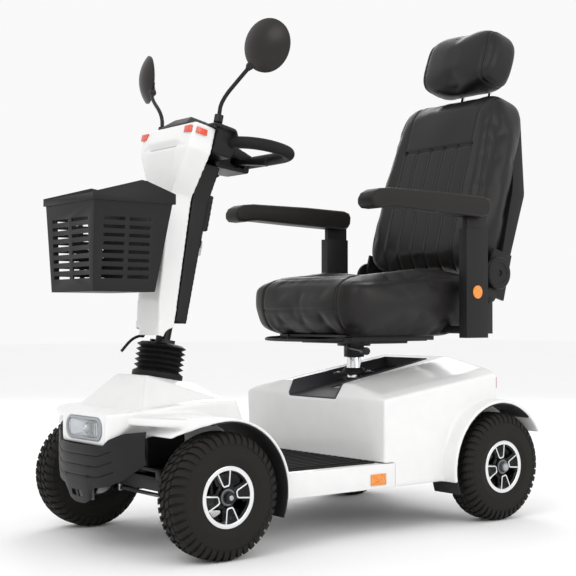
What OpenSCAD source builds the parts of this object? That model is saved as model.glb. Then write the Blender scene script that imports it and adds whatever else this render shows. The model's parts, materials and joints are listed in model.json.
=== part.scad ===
// Four-wheel electric mobility scooter with a swivelling captain's seat.
// +Z is up, the front faces -Y and +X is the rider's left.
// The origin is on the floor, under the middle of the whole scooter's box.

/* [Wheels and stance] */
// Distance between the front and rear axles
wheelbase = 896; // [890:1:902]
// Distance between the left and right wheel centre planes
track = 584; // [580:1:588]
// Outside diameter of a tyre
tyre_d = 286; // [282:1:288]
// Width of a tyre
tyre_w = 88; // [84:1:90]

/* [Tiller] */
// Backward lean of the steering axis, in degrees
rake = 10; // [9:0.5:11]
// Backward lean of the tiller at rest, in degrees
tiller_lean = 12.4; // [11:0.2:13]
// Height of the handlebar loop above the tilt pin, along the tiller
bar_up = 512; // [508:1:516]
// Half of the handlebar loop's width, to the tube's middle
bar_half_w = 208; // [204:1:212]
// Diameter of the handlebar tube
bar_d = 30; // [26:1:32]
// Diameter of a mirror
mirror_d = 128; // [110:1:132]

/* [Basket] */
// Width of the basket across its rim
basket_w = 236; // [230:2:240]
// Height of the basket's front wall
basket_h = 222; // [215:1:225]
// Wall thickness of the basket
basket_wall = 4; // [3:0.5:5]

/* [Body] */
// Height of the floor above the ground
floor_z = 175; // [173:1:177]
// Half width of the floor and the rear body
body_half_w = 289; // [287:1:290]
// Height of the rear body's front edge
rear_front_z = 338; // [334:1:342]
// Rise of the rear body from front to back
rear_rise = 58; // [50:1:60]

/* [Seat] */
// Height of the seat cushion's underside
seat_z = 530; // [528:1:532]
// Width of the seat cushion
seat_w = 480; // [470:2:484]
// Thickness of the seat cushion
cushion_t = 128; // [120:1:130]
// Backward lean of the backrest, in degrees
back_lean = 15; // [14:0.5:16]
// Distance between the two armrests' centre lines
arm_spacing = 572; // [570:1:576]

/* [Hidden] */

// Curves on plain round parts
$fn = 64;
// Curves inside a hull
soft_fn = 24;
// Clearance between bodies that move past each other
gap = 0.4;
// Radial clearance of a running fit
run = 0.06;

// The middle of the wheelbase, ahead of the origin
mid_y = -33.8;
front_y = -wheelbase / 2;
rear_y = wheelbase / 2;
axle_z = tyre_d / 2;
half_track = track / 2;

// Front end
kingpin_x = 262;
kingpin_r = 8;
stub_r = 10;
arm_in = 22;
arm_back = 60;
stem_y = -427;
stem_z = 395;
stem_r = 16;
// Tilt pin, on the steering axis
pin_z = 470;
pin_y = stem_y + (pin_z - stem_z) * tan(rake);

// Seat post
post_y = 211;
post_r = 20;
post_top = 462;
shelf_z = 384;
notch_w = 118;

// Seat
seat_front = 20;
seat_depth = 432;
recline_y = 478;
recline_z = 602;
arm_x = arm_spacing / 2;
arm_tube_y = 364;
arm_tube_z = 508;
arm_hinge_y = 366;
arm_hinge_z = 838;

steel = "#26272a";
white = "#f2f2f2";
black = "#1c1c1e";
vinyl = "#232222";
silver = "#c8c8cc";

// Everything is laid out from the middle of the wheelbase.
module placed() { translate([0, mid_y, 0]) children(); }

module both_sides() { children(); mirror([1, 0, 0]) children(); }

// The tiller's own frame: origin on the tilt pin, +Z up the tiller, +Y to the rider.
module on_tiller() {
    placed() translate([0, pin_y, pin_z]) rotate([-tiller_lean, 0, 0]) children();
}

// The steering axis: origin where it leaves the cowl, +Z up the axis.
module on_stem() {
    placed() translate([0, stem_y, stem_z]) rotate([-rake, 0, 0]) children();
}

// A box given by its low and high corners.
module span(low, high) { translate(low) cube(high - low); }

// A rod along X between two places.
module rod_x(r, x0, x1) { translate([x0, 0, 0]) rotate([0, 90, 0]) cylinder(r = r, h = x1 - x0); }

// A thin slice across the tiller: half width, front, back and height.
module slice(half, front, back, up, t = 2) { span([-half, front, up], [half, back, up + t]); }

// A rounded bar between two points, for a hull.
module ball_bar(a, b, r) {
    hull() {
        translate(a) sphere(r = r, $fn = soft_fn);
        translate(b) sphere(r = r, $fn = soft_fn);
    }
}

function unit(v) = v / norm(v);

// Cuts each corner of a path twice, which rounds its bends.
function cut_corners(p) = concat([p[0]], [
    for (i = [0 : len(p) - 2], t = [0.25, 0.75]) p[i] + t * (p[i + 1] - p[i])
], [p[len(p) - 1]]);

// A round tube swept along a path that never runs along ref.
module sweep(path, r, ref = [0, 0, 1], sides = 12) {
    p = cut_corners(cut_corners(path));
    last = len(p) - 1;
    rings = [for (i = [0 : last])
        let (t = unit(p[min(i + 1, last)] - p[max(i - 1, 0)]), u = unit(cross(t, ref)), v = cross(u, t))
        for (k = [0 : sides - 1])
            p[i] + r * (cos(k * 360 / sides) * u + sin(k * 360 / sides) * v)];
    walls = [for (i = [0 : last - 1], k = [0 : sides - 1])
        [i * sides + k, i * sides + (k + 1) % sides,
         (i + 1) * sides + (k + 1) % sides, (i + 1) * sides + k]];
    ends = [[for (k = [sides - 1 : -1 : 0]) k], [for (k = [0 : sides - 1]) last * sides + k]];
    polyhedron(rings, concat(walls, ends));
}

// ---------------------------------------------------------------- chassis

module frame() {
    color(steel) placed() difference() {
        union() {
            both_sides() {
                // Main rails, stepped up over the rear axle
                span([95, -425, 112], [120, 415, 150]);
                span([95, 390, 150], [120, 415, 200]);
                span([95, 414, 175], [120, 520, 200]);
                // Arms over the front axle beam
                span([95, -425, 150], [120, -385, 162]);
                span([95, -490, 160.4], [120, -385, 186]);
                span([30, -490, 178], [96, -385, 186]);
                span([30, -478, 186], [44, -375, 300]);
            }
            span([-96, -395, 112], [96, -365, 150]);
            span([-220, 60, 112], [220, 85, 150]);
            span([-180, 262, 112], [180, 287, 150]);
            span([-180, 495, 175], [180, 520, 200]);
            // Plate behind the steering head
            span([-44, -400, 200], [44, -375, 300]);
            translate([0, stem_y, stem_z]) rotate([-rake, 0, 0])
                translate([0, 0, -200]) cylinder(r = 31, h = 190);
            // Seat post socket and its cradle
            translate([0, post_y, 140]) cylinder(r = 30, h = 236);
            span([-96, post_y - 14, 112], [96, post_y + 14, 150]);
        }
        translate([0, stem_y, stem_z]) rotate([-rake, 0, 0])
            translate([0, 0, -300]) cylinder(r = stem_r + run, h = 300);
        translate([0, post_y, 160]) cylinder(r = post_r + 0.05, h = 230);
        // Tie-down holes in the rear cross member
        for (x = [-150, 150]) translate([x, 507.5, 160]) cylinder(r = 6.5, h = 60);
    }
}

module front_axle_beam() {
    color(steel) placed() translate([0, front_y, axle_z]) difference() {
        union() {
            span([-kingpin_x, -12, -16], [kingpin_x, 12, 16]);
            span([-236, -16, -16], [236, 16, 17]);
            both_sides() translate([kingpin_x, 0, -25]) cylinder(r = 16, h = 50);
        }
        both_sides() translate([kingpin_x, 0, -40]) cylinder(r = kingpin_r + run, h = 80);
    }
}

// Steering knuckle with its kingpin, stub axle and steering arm, for the left side.
module knuckle() {
    color(steel) {
        translate([0, 0, -33]) cylinder(r = kingpin_r, h = 66);
        for (z = [-33, 25 + gap]) translate([0, 0, z]) cylinder(r = 17, h = 7.6);
        span([17, -12, -33], [27, 12, 33]);
        for (z = [-33, 25 + gap]) span([0, -12, z], [18, 12, z + 7.6]);
        rod_x(stub_r, 26, 78);
        // Steering arm
        translate([0, 0, -33]) hull() {
            cylinder(r = 9, h = 6, $fn = soft_fn);
            translate([-arm_in, arm_back, 0]) cylinder(r = 8, h = 6, $fn = soft_fn);
        }
    }
    // Axle nut
    color(silver) translate([70, 0, 0]) rotate([0, 90, 0]) cylinder(r = 14, h = 10, $fn = 6);
}
module knuckle_left() { placed() translate([kingpin_x, front_y, axle_z]) knuckle(); }
module knuckle_right() {
    placed() translate([-kingpin_x, front_y, axle_z]) mirror([1, 0, 0]) knuckle();
}

module tie_rod() {
    reach = kingpin_x - arm_in;
    color(silver) placed() translate([0, front_y + arm_back, 98]) {
        rod_x(5, -reach, reach);
        both_sides() translate([reach, 0, -7]) cylinder(r = 7, h = 18);
    }
}

module transaxle() {
    color("#5b5e63") placed() translate([0, rear_y, axle_z]) {
        rod_x(28, -225, 225);
        rod_x(54, -46, 46);
        rod_x(stub_r, -half_track - 40, half_track + 40);
        both_sides() rod_x(34, 200, 236);
        // Motor, ahead of the gear case
        translate([44, -58, 0]) rotate([90, 0, 0]) cylinder(r = 40, h = 92);
        translate([40, -58.5, 0]) rotate([-90, 0, 0]) cylinder(r = 26, h = 50);
        // Pads under the rails
        both_sides() span([96, -26, 20], [119, 26, 31.6]);
    }
    color(silver) placed() translate([0, rear_y, axle_z]) both_sides()
        translate([half_track + 38, 0, 0]) rotate([0, 90, 0]) cylinder(r = 14, h = 10, $fn = 6);
}

module battery_packs() {
    color("#3a3d42") placed() for (x = [-212, 6])
        span([x, 95.2, 151], [x + 206, 180.6, 151 + 160]);
}

// ---------------------------------------------------------------- wheels

module tyre() {
    r = tyre_d / 2;
    h = tyre_w / 2;
    color("#202020") rotate([0, 90, 0]) rotate_extrude($fn = 96) polygon([
        [65, 36], [72, 38], [86, h - 2], [104, h], [122, h - 2], [r - 7, h - 8], [r, h - 18],
        [r, 18 - h], [r - 7, 8 - h], [122, 2 - h], [104, -h], [86, 2 - h], [72, -38], [65, -36],
        [65, -30], [76, -31], [104, 9 - h], [r - 18, 12 - h], [r - 12, 0],
        [r - 18, h - 12], [104, h - 9], [76, 31], [65, 30]
    ]);
}

// One window between the spokes, as a plain four-sided outline.
module rim_window() {
    for (a = [45 : 90 : 315]) rotate([0, 0, a])
        linear_extrude(60) polygon([[25, -8], [52, -23], [55, 0], [52, 23], [25, 8]]);
}

module rim() {
    face = tyre_w / 2 - 12;
    color(silver) rotate([0, 90, 0]) difference() {
        union() {
            rotate_extrude($fn = 96) polygon([
                [57, -38], [70, -40.5], [71, -38.5], [64.6, -36], [64.6, 36], [71, 38.5],
                [70, 40.5], [57, 38]
            ]);
            translate([0, 0, face - 8]) cylinder(r = 58, h = 8);
            translate([0, 0, face - 26]) cylinder(r = 24, h = 30);
        }
        translate([0, 0, -60]) cylinder(r = stub_r + run, h = 120);
        translate([0, 0, face - 30]) rim_window();
    }
}

module wheel_place(x, y) {
    placed() translate([x, y, axle_z]) mirror([x < 0 ? 1 : 0, 0, 0]) children();
}
module tyre_front_left() { wheel_place(half_track, front_y) tyre(); }
module tyre_front_right() { wheel_place(-half_track, front_y) tyre(); }
module tyre_rear_left() { wheel_place(half_track, rear_y) tyre(); }
module tyre_rear_right() { wheel_place(-half_track, rear_y) tyre(); }
module rim_front_left() { wheel_place(half_track, front_y) rim(); }
module rim_front_right() { wheel_place(-half_track, front_y) rim(); }
module rim_rear_left() { wheel_place(half_track, rear_y) rim(); }
module rim_rear_right() { wheel_place(-half_track, rear_y) rim(); }

// ---------------------------------------------------------------- front body

// Heights of the basket's hooks, along the tiller
hook_up = [150, 330];

// Cross-section of a front fender, seen along X: an arch over the wheel.
module front_arch(outer, inner) {
    difference() {
        union() {
            intersection() {
                circle(r = outer, $fn = 96);
                translate([-outer, -20]) square([outer * 2, outer * 2]);
            }
            translate([-165, outer - 18]) square([165, 18]);
        }
        circle(r = inner, $fn = 96);
        translate([-inner - 60, -60]) square([60, inner - 6]);
        translate([-inner - 60, -60]) square([120, inner + 40]);
    }
}

// Turns an outline in the YZ plane into a plate between two X places.
module plate_x(x0, x1) {
    translate([x0, 0, 0]) rotate([90, 0, 90]) linear_extrude(x1 - x0) children();
}

module cowl_body(d) {
    hull() {
        span([-104 + d, -626 + d, 246 - d], [104 - d, -600, 318 - d]);
        span([-150 + d, -585, 300 - d], [150 - d, -560, 326 - d]);
        span([-160 + d, -400, 290 - d], [160 - d, -300 - d, 342 - d]);
    }
    hull() {
        translate([0, stem_y, stem_z]) rotate([-rake, 0, 0])
            span([-66 + d, -74 + d, -12 - d], [66 - d, 66 - d, -4 - d]);
        span([-150 + d, -560 + d, 318 - d], [150 - d, -295 - d, 326 - d]);
    }
    hull() {
        span([-160 + d, -345, 300], [160 - d, -295 - d, 326 - d]);
        span([-160 + d, -262, floor_z + gap], [160 - d, -244 - d, floor_z + 6]);
    }
}

// Outline of a front fender seen from above: its front corner is swept back.
module fender_plan() {
    linear_extrude(500) polygon([
        [150, -600], [196, -588], [250, -566], [300, -532], [328, -500], [336, -470],
        [336, -240], [150, -240]
    ]);
}

module front_cowl() {
    color(white) placed() difference() {
        union() {
            cowl_body(0);
            both_sides() intersection() {
                translate([0, front_y, axle_z]) plate_x(150, 336) front_arch(173, 168);
                fender_plan();
            }
        }
        translate([0, 0, -0.01]) cowl_body(5);
        // Opening for the steering head
        translate([0, stem_y, stem_z]) rotate([-rake, 0, 0])
            translate([0, 0, -60]) cylinder(r = 40, h = 90);
        // Headlight opening
        span([-92, -700, 250], [92, -590, 315]);
        // Wheel wells
        both_sides() translate([0, front_y, axle_z]) rod_x(160, 168, 200);
        // Open underside
        span([-150, -620, 100], [150, -300, 252]);
    }
}

module headlight_housing() {
    color("#8f9297") placed() difference() {
        span([-91.6, -630, 250.4], [91.6, -596, 314.6]);
        span([-84, -640, 256], [84, -602, 309]);
    }
}

module headlight_lens() {
    color([0.85, 0.9, 0.95, 0.5]) placed()
        span([-83.6, -631, 256.4], [83.6, -625, 308.6]);
}

module front_bumper() {
    color(black) placed() difference() {
        union() {
            hull() {
                span([-92, -642, 160], [92, -632, 244]);
                both_sides() span([180, -592, 180], [191, -578, 272]);
            }
            hull() {
                span([-92, -642, 150], [92, -632, 165]);
                span([-48, -632, 112], [48, -622, 120]);
            }
        }
        // Hollow back
        hull() {
            span([-88, -634, 100], [88, -600, 244.6]);
            both_sides() span([150, -585, 100], [184, -560, 280]);
        }
        span([-130, -620, 100], [130, -500, 290]);
        span([-112, -660, 244.6], [112, -500, 300]);
        // Horizontal grooves
        for (z = [180, 202, 224]) span([-70, -645, z], [70, -639, z + 4]);
        // Vents in the lower scoop
        for (x = [-30, 4]) span([x, -660, 128], [x + 26, -600, 142]);
    }
}

// An arch-shaped liner over a wheel, inside the white lip.
module liner(y, outer, inner, x0, x1, from_y) {
    translate([0, y, axle_z]) plate_x(x0, x1) intersection() {
        difference() {
            circle(r = outer, $fn = 96);
            circle(r = inner, $fn = 96);
        }
        translate([from_y, -60]) square([300, 300]);
    }
}
module wheel_liners() {
    color(black) placed() both_sides() {
        liner(front_y, 167.6, 164, 172, 332, -40);
        liner(rear_y - 8, 169.6, 166, 241, 333, -190);
    }
}

module floor_pan() {
    color(white) placed() difference() {
        span([-body_half_w, -243, 115], [body_half_w, 95, floor_z]);
        span([-body_half_w + 4, -239, 100], [body_half_w - 4, 110, floor_z - 5]);
        // Passages for the rails
        both_sides() span([94.8, -250, 100], [120.2, -230, 150.2]);
    }
}

module foot_mat() {
    color(black) placed() {
        span([-262, -232, floor_z], [262, 50, floor_z + 3]);
        for (x = [-240 : 24 : 240]) span([x - 5, -226, floor_z + 2.9], [x + 5, 44, floor_z + 6]);
    }
}

// ---------------------------------------------------------------- rear body

module rear_hull(d) {
    crown = 29;
    top = rear_front_z + rear_rise;
    hull() {
        span([-body_half_w + d, 60 + d, floor_z + 0.2 - 2 * d],
             [body_half_w - d, 64 + d, rear_front_z - 6 - d]);
        span([-body_half_w + 26 + d, 74 + d, rear_front_z - d],
             [body_half_w - 26 - d, 78 + d, rear_front_z + 6 - d]);
        span([-notch_w - 26 + d, 80 + d, rear_front_z + crown - 4 - d],
             [notch_w + 26 - d, 84 + d, rear_front_z + crown - d]);
        span([-body_half_w + d, 466 - d, floor_z + 0.2 - 2 * d],
             [body_half_w - d, 470 - d, top - 8 - d]);
        span([-notch_w - 10 + d, 444 - d, top + crown - d], [notch_w + 10 - d, 448 - d, top + crown + 5 - d]);
        span([-body_half_w + 30 + d, 456 - d, top - d], [body_half_w - 30 - d, 460 - d, top + 6 - d]);
    }
}

// The recess along the top, deeper at the front, where it is open.
module notch(d) {
    hull() {
        span([-notch_w + 18 + d, 40, 322 + d], [notch_w - 18 - d, 42, 324 + d]);
        span([-notch_w + d, 40, 420], [notch_w - d, 42, 422]);
        span([-78 + d, 404 - d, 396 + d], [78 - d, 406 - d, 398 + d]);
        span([-98 + d, 408 - d, 460], [98 - d, 410 - d, 462]);
    }
}

module rear_body() {
    color(white) placed() difference() {
        union() {
            rear_hull(0);
            // Lower skirts, level with the floor's sides
            both_sides() span([body_half_w - 5, 95.4, 115], [body_half_w, 285, floor_z + 1]);
            // Wheel arches
            both_sides() translate([0, rear_y - 8, axle_z]) plate_x(236, 336) intersection() {
                circle(r = 178, $fn = 96);
                translate([-190, -28]) square([340, 260]);
            }
            // Tail panel
            span([-236, 466, 202], [236, 476, 300]);
        }
        difference() {
            rear_hull(4);
            hull() {
                span([-notch_w + 14, 30, 318], [notch_w - 14, 42, 320]);
                span([-notch_w - 4, 30, 420], [notch_w + 4, 42, 422]);
                span([-82, 408, 392], [82, 410, 394]);
                span([-102, 412, 460], [102, 414, 462]);
            }
        }
        notch(0);
        both_sides() translate([0, rear_y - 8, axle_z]) rod_x(170, 240, 340);
        both_sides() span([236, 270, 100], [340, 700, axle_z - 28]);
        // Clear space under the shell
        span([-236, 96, 100], [236, 466, floor_z + 4]);
        // Seat post opening
        translate([0, post_y, 300]) cylinder(r = 34, h = 120);
        // Axle and rail passages
        translate([0, rear_y, axle_z]) {
            rod_x(29, -250, 250);
            rod_x(54.3, -46.3, 46.3);
            both_sides() rod_x(34.3, 199, 236.3);
        }
        both_sides() span([94.8, 460, 100], [120.2, 480, 200.2]);
    }
}

// Dark liner on the walls of the recess on top of the rear body.
module seat_surround() {
    lift = 3;
    color("#4a4b4e") placed() intersection() {
        difference() {
            notch(0.2);
            notch(4);
            span([-200, 20, 300], [200, 61, 500]);
            // Opening for the post's mount
            span([-30.2, post_y - 60.2, 300], [30.2, post_y + 30.2, 420]);
        }
        translate([0, 0, lift]) rear_hull(0);
    }
}

module tail_lights() {
    color("#b3241c") placed() both_sides() span([244, 470.1, 348], [282, 480, 380]);
}

module side_reflectors() {
    color("#f08a24") placed() both_sides() {
        span([body_half_w + 0.05, 12, 124], [body_half_w + 3, 62, 152]);
        span([60, 476.1, 210], [120, 480, 240]);
    }
}

module seat_post() {
    color(silver) placed() {
        translate([0, post_y, 161]) cylinder(r = post_r, h = post_top - 161);
    }
    color(black) placed() difference() {
        hull() {
            translate([0, post_y, shelf_z + 0.2]) cylinder(r = 36, h = 8, $fn = 32);
            for (y = [-66, 66]) translate([0, post_y + y, shelf_z + 0.2])
                cylinder(r = 6, h = 5, $fn = 32);
        }
        translate([0, post_y, 376.2]) cylinder(r = 33, h = 10);
        translate([0, post_y, shelf_z - 1]) cylinder(r = post_r - 1, h = 20);
    }
}

// Lever on the drive unit that lets the scooter be pushed.
module freewheel_lever() {
    color("#c22d22") placed() translate([-70, rear_y, axle_z]) {
        translate([-7, 0, 0]) rotate([0, 90, 0]) difference() {
            cylinder(r = 36, h = 8);
            translate([0, 0, -1]) cylinder(r = 28 + run, h = 10);
        }
        span([-6, 30, -5], [0, 58, 5]);
        translate([-3, 60, 0]) rod_x(8, -14, 4);
    }
}

// ---------------------------------------------------------------- steering

module steering_stem() {
    color(steel) {
        on_stem() {
            translate([0, 0, -230]) cylinder(r = stem_r, h = 270);
            translate([0, 0, -9]) cylinder(r = 26, h = 14);
            // Yoke that holds the tilt pin
            span([-32, -16, 38], [32, 16, 48]);
            both_sides() span([22, -16, 38], [32, 16, 92]);
        }
        placed() translate([0, pin_y, pin_z]) rod_x(7, -34, 34);
        // Pitman arm, under the steering head
        on_stem() translate([0, 0, -230]) hull() {
            cylinder(r = 20, h = 8, $fn = soft_fn);
            translate([0, 52, 0]) cylinder(r = 9, h = 8, $fn = soft_fn);
        }
    }
}

// Height of the bellows above the cowl, along the steering axis
bellows_top = 82;
module bellows() {
    n = 5;
    low = 18;
    pitch = (bellows_top - low) / n;
    zig = [for (i = [0 : n * 2]) [i % 2 == 0 ? 50 : 61, low + i * pitch / 2]];
    zag = [for (i = [n * 2 : -1 : 0]) [i % 2 == 0 ? 47 : 58, low + i * pitch / 2]];
    color(black) on_stem() rotate_extrude() polygon(concat([[62, -3], [62, 10]], zig, zag, [[58, -3]]));
}

// ---------------------------------------------------------------- tiller

module tiller_column() {
    color(steel) on_tiller() difference() {
        union() {
            rod_x(15, -21.4, 21.4);
            translate([0, 0, 4]) cylinder(r = 18, h = 470);
            span([-40, -28, 440], [40, 10, 448]);
            // Hooks for the basket
            for (z = hook_up) span([-24, -100, z], [24, -16, z + 5]);
        }
        rod_x(7 + run, -40, 40);
    }
}

module front_skin(d) {
    hull() {
        slice(55 - d, -48 + d, -7 + d, 16 - 2 * d);
        slice(50 - d, -63 + d, -8 + d, 100);
    }
    hull() {
        slice(50 - d, -63 + d, -8 + d, 100);
        slice(49 - d, -88 + d, -24 + d, 363);
    }
    hull() {
        slice(49 - d, -88 + d, -24 + d, 363);
        slice(112 - d, -98 + d, -33 + d, 470);
        slice(60 - d, -106 + d, -33 + d, 470);
    }
    hull() {
        slice(112 - d, -98 + d, -33 + d, 470);
        slice(60 - d, -108 + d, -33 + d, 490);
        slice(118 - d, -96 + d, -35 + d, 530 - d);
    }
}

module tiller_front_cover() {
    color(white) on_tiller() difference() {
        front_skin(0);
        front_skin(3.5);
        // Slots for the basket hooks and the tilt lever
        for (z = hook_up) span([-24.3, -110, z - 0.3], [24.3, -50, z + 5.3]);
        span([-53, -60, 10], [-37, -36, 34]);
        // Curved lower rear corner
        translate([-80, -2, 14]) rotate([0, 90, 0]) cylinder(r = 30, h = 160);
    }
}

module tiller_rear_cover() {
    color(black) on_tiller() difference() {
        union() {
            hull() {
                slice(50, -5.4, 28, 60);
                slice(49, -22.6, 26, 363);
            }
            hull() {
                slice(49, -22.6, 26, 363);
                slice(62, -31.6, 34, 458);
            }
            // Lock box and its gusset
            span([-36, 25, 300], [36, 48, 392]);
            hull() {
                span([-6, 20, 415], [6, 24, 418]);
                span([-6, 20, 455], [6, 75, 458]);
            }
        }
        hull() {
            slice(46, -12, 24, 50);
            slice(45, -28, 22, 363);
        }
        hull() {
            slice(45, -28, 22, 363);
            slice(58, -36, 30, 459);
        }
    }
}

// Head block behind the white cover, with the plate that caps them both.
module head_block() {
    hull() {
        span([-110, -32, 474], [110, 26, 478]);
        span([-124, -33, 500], [124, 32, 528]);
        span([-132, -33, 533], [132, 16, 545]);
    }
    hull() {
        span([-139, -52, 532.4], [139, 10, 541]);
        span([-132, -48, 532.4], [132, 8, 545]);
    }
}

module console() {
    color(black) on_tiller() {
        head_block();
        // Tongue to the handlebar's rear run
        difference() {
            hull() {
                span([-58, 20, 460.4], [58, 30, 536]);
                span([-46, 120, 474], [46, 132, 522]);
            }
            // Seats for the dial and the two buttons
            translate([0, 62, 500]) cylinder(r = 9.4, h = 60);
            for (x = [-28, 28]) translate([x, 100, 508]) cylinder(r = 7.4, h = 60);
            // Room for the throttle lever
            span([-70, 66, 482], [70, 116, 498.5]);
            translate([0, 60, 482]) cylinder(r = 13, h = 16.5);
        }
        // Instrument hood
        hull() {
            span([-62, -88, 532.4], [62, 0, 538]);
            span([-38, -62, 558], [38, -8, 566]);
        }
    }
}

// Delta-shaped handlebar loop, in a plane across the tiller.
bar_path = [[104, 8], [150, 20], [190, 50], [bar_half_w, 88], [206, 128], [176, 148], [110, 150]];
module handlebar() {
    left = [for (p = bar_path) [p[0], p[1], bar_up]];
    right = [for (i = [len(left) - 1 : -1 : 0]) [-left[i][0], left[i][1], bar_up]];
    color(black) on_tiller() difference() {
        sweep(concat(left, right), bar_d / 2, sides = 20);
        head_block();
    }
}

module indicators() {
    color("#e8502a") on_tiller() difference() {
        both_sides() {
            span([84, -104, 505], [112, -99, 522]);
            span([118.2, -90, 505], [121, -60, 520]);
        }
        front_skin(0);
    }
}

module key() {
    color(silver) on_tiller() translate([18, 41, 300]) {
        translate([0, 0, -24]) cylinder(r = 4, h = 23.6);
        translate([0, 0, -32]) rotate([90, 0, 0]) translate([0, 0, -1.2]) difference() {
            cylinder(r = 12, h = 2.4);
            translate([0, 6, -1]) cylinder(r = 3, h = 5);
        }
        translate([-1, 0, -60]) cube([2.2, 9, 30]);
    }
}

// Wig-wag throttle: one lever with a finger paddle on each side.
module throttle_lever() {
    color(black) on_tiller() {
        translate([0, 60, 484]) cylinder(r = 12, h = 12);
        span([-8, 60, 484], [8, 92, 496]);
        both_sides() hull() {
            translate([0, 86, 484]) cylinder(r = 6, h = 12, $fn = soft_fn);
            translate([66, 92, 484]) cylinder(r = 6, h = 12, $fn = soft_fn);
        }
        both_sides() hull() {
            translate([66, 92, 484]) cylinder(r = 6, h = 12, $fn = soft_fn);
            translate([146, 106, 478]) cylinder(r = 7, h = 18, $fn = soft_fn);
        }
    }
}

module speed_dial() {
    color("#d8d8d8") on_tiller() translate([0, 62, 501]) {
        cylinder(r = 9, h = 44);
        translate([0, 0, 36]) cylinder(r = 16, h = 12);
    }
}

module push_button(x) {
    on_tiller() translate([x, 100, 512]) cylinder(r = 7, h = 20);
}
module horn_button() { color("#b8302a") push_button(28); }
module light_button() { color("#2c7a3c") push_button(-28); }

mirror_x = 127;
mirror_ball = [214, -40, 668];
module mirror_stem() {
    color(black) on_tiller() {
        translate([mirror_x, -40, 545.4]) cylinder(r = 11, h = 18);
        sweep([[mirror_x, -40, 556], [mirror_x + 6, -46, 598], [202, -45, 651], mirror_ball], 5,
              ref = [0, 1, 0]);
        translate(mirror_ball) sphere(r = 6.5, $fn = 32);
    }
}
// Round mirror head on a ball at the stem's end, facing the rider.
module mirror_head() {
    color("#2b2a29") on_tiller() difference() {
        hull() {
            translate(mirror_ball + [3, 1.5, 6]) sphere(r = 9.5, $fn = soft_fn);
            translate(mirror_ball + [26, 8, 30]) sphere(r = 8, $fn = soft_fn);
        }
        translate(mirror_ball) sphere(r = 6.9, $fn = 32);
    }
    color("#2b2a29") placed() translate([264, pin_y + 125, 1180])
        rotate([90, 0, 19]) {
            difference() {
                intersection() {
                    cylinder(r = mirror_d / 2, h = 26);
                    translate([0, 0, -80]) sphere(r = 106, $fn = 96);
                }
                translate([0, 0, -1]) cylinder(r = mirror_d / 2 - 4, h = 4);
            }
        }
}
module mirror_stem_left() { mirror_stem(); }
module mirror_stem_right() { mirror([1, 0, 0]) mirror_stem(); }
module mirror_head_left() { mirror_head(); }
module mirror_head_right() { mirror([1, 0, 0]) mirror_head(); }

tilt_hub = [-45, -34, 20];
module tilt_lever() {
    color(black) on_tiller() {
        translate(tilt_hub) rod_x(6, -4, 4);
        sweep([tilt_hub, [-45, -60, 6], [-45, -82, -30]], 3.6, ref = [1, 0, 0]);
    }
}

// ---------------------------------------------------------------- basket

module basket_hull(d) {
    h = basket_w / 2;
    hull() {
        span([-h + d, -668 + d, 820 + d], [h - d, -456 - d, 822 + 3 * d]);
        span([-100 + d, -660 + d, 600 + d], [100 - d, -496 - d, 602 + d]);
    }
}

module basket() {
    wall = basket_wall;
    half = basket_w / 2;
    slots = 8;
    slot_gap = basket_h / 11.7;
    low_slot = 822 - basket_h + 30;
    color(black) {
        placed() difference() {
            union() {
                basket_hull(0);
                // Rolled rim and raised sides
                span([-half - 4, -672, 806], [half + 4, -452, 822]);
                both_sides() plate_x(half - 2, half + 4) polygon([
                    [-672, 815], [-672, 824], [-545, 858], [-530, 856], [-452, 830], [-452, 815]
                ]);
            }
            basket_hull(wall);
            span([-half + wall, -668 + wall, 800], [half - wall, -456 - wall, 870]);
            // Slots in the front wall and in the side walls, in two columns each
            for (i = [0 : slots - 1]) {
                z = low_slot + i * slot_gap;
                for (x = [-86, 8]) span([x, -700, z], [x + 78, -640, z + 8]);
                for (y = [-640, -572]) span([-200, y, z], [200, y + 56, z + 8]);
            }
        }
        // Hooks that sit on the tiller's hooks
        on_tiller() {
            span([-20, -115, hook_up[0] + 5.4], [20, -88, hook_up[0] + 10]);
            span([-20, -118, hook_up[1] + 5.4], [20, -92, hook_up[1] + 10]);
        }
    }
}

// ---------------------------------------------------------------- seat

module seat_base() {
    color(steel) placed() {
        translate([0, post_y, post_top + gap]) cylinder(r = 46, h = 8);
        difference() {
            translate([0, post_y, 432]) cylinder(r = 28, h = 31);
            translate([0, post_y, 431]) cylinder(r = post_r + run, h = post_top - 431);
        }
        span([-130, post_y - 80, post_top + 8], [130, post_y + 80, post_top + 14]);
        // Lower slide rails
        both_sides() span([110, post_y - 130, post_top + 14], [134, post_y + 150, post_top + 24]);
    }
}

module swivel_lever() {
    color(black) placed() translate([0, post_y, post_top - 8]) {
        translate([60, -70, 0]) cylinder(r = 7, h = 14);
        sweep([[60, -70, 5], [120, -100, 3], [186, -128, 0]], 4);
        translate([190, -129.5, 0]) rotate([0, 90, -23]) cylinder(r = 10, h = 28, center = true);
    }
}

module seat_frame() {
    z0 = post_top + 24.5;
    color(steel) placed() difference() {
        union() {
            // Upper slide rails
            both_sides() span([104, post_y - 150, z0 - 8], [140, post_y + 170, z0 + 8]);
            for (y = [66, 300]) span([-104.2, y, z0 + 2], [104.2, y + 26, z0 + 8]);
            // Ribs, seat pan and the cross tube for the armrest brackets
            both_sides() span([118, 66, z0 + 7.8], [126, 440, 527]);
            span([-205, 46, 526.6], [205, 440, seat_z - 0.2]);
            translate([0, arm_tube_y, arm_tube_z]) rod_x(13, -200, 200);
            // Rear bar and the cheeks that carry the backrest
            span([-248.6, 438, 496], [248.6, 468, 512]);
            both_sides() {
                span([241, 438, 496], [248.6, 500, recline_z]);
                translate([0, recline_y, recline_z]) rod_x(22, 241, 248.6);
            }
        }
        both_sides() span([109.4, post_y - 300, z0 - 9], [134.6, post_y + 300, z0 + gap]);
        translate([0, arm_tube_y, arm_tube_z]) rod_x(10 + run, -201, 201);
    }
}

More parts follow.
